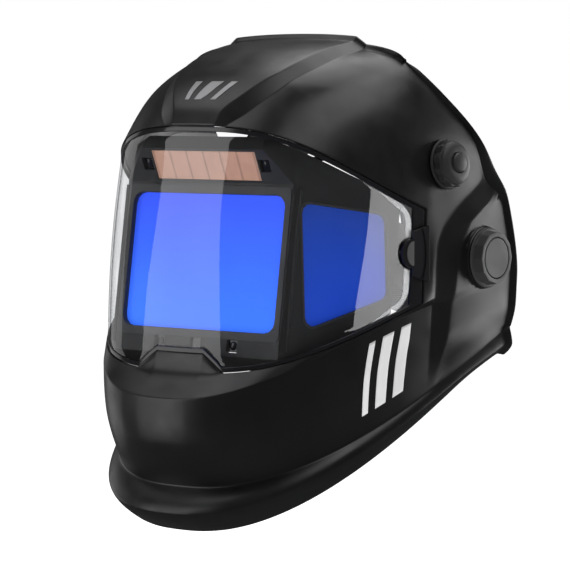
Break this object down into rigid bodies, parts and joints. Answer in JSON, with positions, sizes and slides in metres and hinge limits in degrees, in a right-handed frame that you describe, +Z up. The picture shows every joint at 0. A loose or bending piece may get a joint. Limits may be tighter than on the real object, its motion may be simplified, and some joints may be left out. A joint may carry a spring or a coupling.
{
  "type": "welding helmet",
  "caption": "Full-face welding helmet with a wraparound clear cover, panoramic auto-darkening cartridge, outside shade knob, side tension knobs and adjustable headgear",
  "frame": {"origin": "middle of the tilt pivot axis, between the two side tension knobs", "axes": "+X is the wearer's left, -Y is the way the wearer faces, +Z is up, with the helmet down over the face"},
  "size_m": [0.2712, 0.3148, 0.3216],
  "materials": {
    "shell": "satin black moulded nylon",
    "gloss_trim": "gloss black",
    "clear_cover": "clear polycarbonate",
    "cartridge": "dark grey satin",
    "filter_glass": "blue mirror-coated filter glass",
    "inner_plastic": "black, fine texture",
    "solar_cell": "copper-brown solar cell under glass",
    "sensor": "dark infrared window",
    "circuit_board": "green solder mask",
    "display": "grey-green liquid crystal",
    "keypad": "grey rubber keys",
    "steel": "nickel plated",
    "knob_plastic": "satin dark grey",
    "cable_rubber": "black jacket",
    "friction_rubber": "black",
    "headgear_plastic": "black nylon",
    "sweat_fabric": "black brushed fabric over foam"
  },
  "bodies": {
    "headgear": {"headband": "headgear_plastic", "sweatband": "sweat_fabric", "front_strap_left": "headgear_plastic", "front_strap_right": "headgear_plastic", "front_strap_pin": "headgear_plastic", "rear_strap_left": "headgear_plastic", "rear_strap_right": "headgear_plastic", "rear_strap_pin": "headgear_plastic", "ratchet_housing": "headgear_plastic", "rear_pad": "sweat_fabric", "slide_pin_left": "headgear_plastic", "slide_pin_right": "headgear_plastic"},
    "pivot_arms": {"side_arm_left": "headgear_plastic", "side_arm_right": "headgear_plastic", "pivot_bolt_left": "steel", "pivot_bolt_right": "steel", "angle_disc_left": "headgear_plastic", "angle_disc_right": "headgear_plastic"},
    "helmet": {"shell": "shell", "lens_bezel": "gloss_trim", "cover_lens": "clear_cover", "cartridge_housing": "cartridge", "front_filter": "filter_glass", "side_filter_left": "filter_glass", "side_filter_right": "filter_glass", "rear_frame": "inner_plastic", "inner_cover_plate": "clear_cover", "solar_panel": "solar_cell", "upper_sensor_left": "sensor", "upper_sensor_right": "sensor", "lower_sensor_left": "sensor", "lower_sensor_right": "sensor", "infrared_window": "sensor", "control_box": "inner_plastic", "circuit_board": "circuit_board", "display_panel": "display", "shade_knob_base": "inner_plastic", "potentiometer": "steel", "control_cable": "cable_rubber", "pivot_washer_left": "friction_rubber", "pivot_washer_right": "friction_rubber"},
    "latch_left": {"cover_latch_left": "gloss_trim"},
    "latch_right": {"cover_latch_right": "gloss_trim"},
    "tension_left": {"tension_knob_left": "knob_plastic", "knob_cap_left": "knob_plastic"},
    "tension_right": {"tension_knob_right": "knob_plastic", "knob_cap_right": "knob_plastic"},
    "shade_control": {"shade_knob": "knob_plastic"},
    "grind_control": {"grind_button": "knob_plastic"},
    "menu_key": {"menu_button": "keypad"},
    "down_key": {"down_button": "keypad"},
    "up_key": {"up_button": "keypad"},
    "battery_drawer_left": {"battery_tray_left": "inner_plastic", "coin_cell_left": "steel"},
    "battery_drawer_right": {"battery_tray_right": "inner_plastic", "coin_cell_right": "steel"},
    "ratchet_drive": {"ratchet_knob": "knob_plastic", "pinion": "headgear_plastic"},
    "tail_left": {"band_tail_left": "headgear_plastic"},
    "tail_right": {"band_tail_right": "headgear_plastic"}
  },
  "joints": [
    {"name": "fore_aft_slide", "type": "slide", "parent": "headgear", "child": "pivot_arms", "axis": [0, -1, 0], "range_m": [-0.004, 0.004]},
    {"name": "helmet_tilt", "type": "hinge", "parent": "pivot_arms", "child": "helmet", "pos_m": [0, 0, 0], "axis": [-1, 0, 0], "range_deg": [0, 70]},
    {"name": "tension_turn_left", "type": "hinge", "parent": "pivot_arms", "child": "tension_left", "pos_m": [0.13, 0, 0], "axis": [1, 0, 0], "range_deg": [-180, 180]},
    {"name": "tension_turn_right", "type": "hinge", "parent": "pivot_arms", "child": "tension_right", "pos_m": [-0.13, 0, 0], "axis": [-1, 0, 0], "range_deg": [-180, 180]},
    {"name": "shade_turn", "type": "hinge", "parent": "helmet", "child": "shade_control", "pos_m": [0.11658, -0.0311, 0.06164], "axis": [0.9902, -0.0617, 0.1255], "range_deg": [-135, 135]},
    {"name": "grind_press", "type": "slide", "parent": "helmet", "child": "grind_control", "axis": [-0.9902, 0.0617, -0.1255], "range_m": [0, 0.0012], "stiffness_N_per_m": 900},
    {"name": "latch_slide_left", "type": "slide", "parent": "helmet", "child": "latch_left", "axis": [0.1702, 0.9846, -0.0398], "range_m": [0, 0.003]},
    {"name": "latch_slide_right", "type": "slide", "parent": "helmet", "child": "latch_right", "axis": [-0.1702, 0.9846, -0.0398], "range_m": [0, 0.003]},
    {"name": "menu_press", "type": "slide", "parent": "helmet", "child": "menu_key", "axis": [0, -1, 0], "range_m": [0, 0.0008], "stiffness_N_per_m": 500},
    {"name": "down_press", "type": "slide", "parent": "helmet", "child": "down_key", "axis": [0, -1, 0], "range_m": [0, 0.0008], "stiffness_N_per_m": 500},
    {"name": "up_press", "type": "slide", "parent": "helmet", "child": "up_key", "axis": [0, -1, 0], "range_m": [0, 0.0008], "stiffness_N_per_m": 500},
    {"name": "battery_slide_left", "type": "slide", "parent": "helmet", "child": "battery_drawer_left", "axis": [0, 1, 0], "range_m": [0, 0.017]},
    {"name": "battery_slide_right", "type": "slide", "parent": "helmet", "child": "battery_drawer_right", "axis": [0, 1, 0], "range_m": [0, 0.017]},
    {"name": "ratchet_turn", "type": "hinge", "parent": "headgear", "child": "ratchet_drive", "pos_m": [0, 0.12, -0.032], "axis": [0, -1, 0], "range_deg": [0, 115]},
    {"name": "tail_slide_left", "type": "slide", "parent": "headgear", "child": "tail_left", "axis": [-1, 0, 0], "range_m": [0, 0.0105]},
    {"name": "tail_slide_right", "type": "slide", "parent": "headgear", "child": "tail_right", "axis": [1, 0, 0], "range_m": [0, 0.0105]}
  ],
  "couplings": [
    {"joint": "tail_slide_left", "follows": "ratchet_turn", "m_per_rad": 0.005},
    {"joint": "tail_slide_right", "follows": "ratchet_turn", "m_per_rad": 0.005}
  ]
}
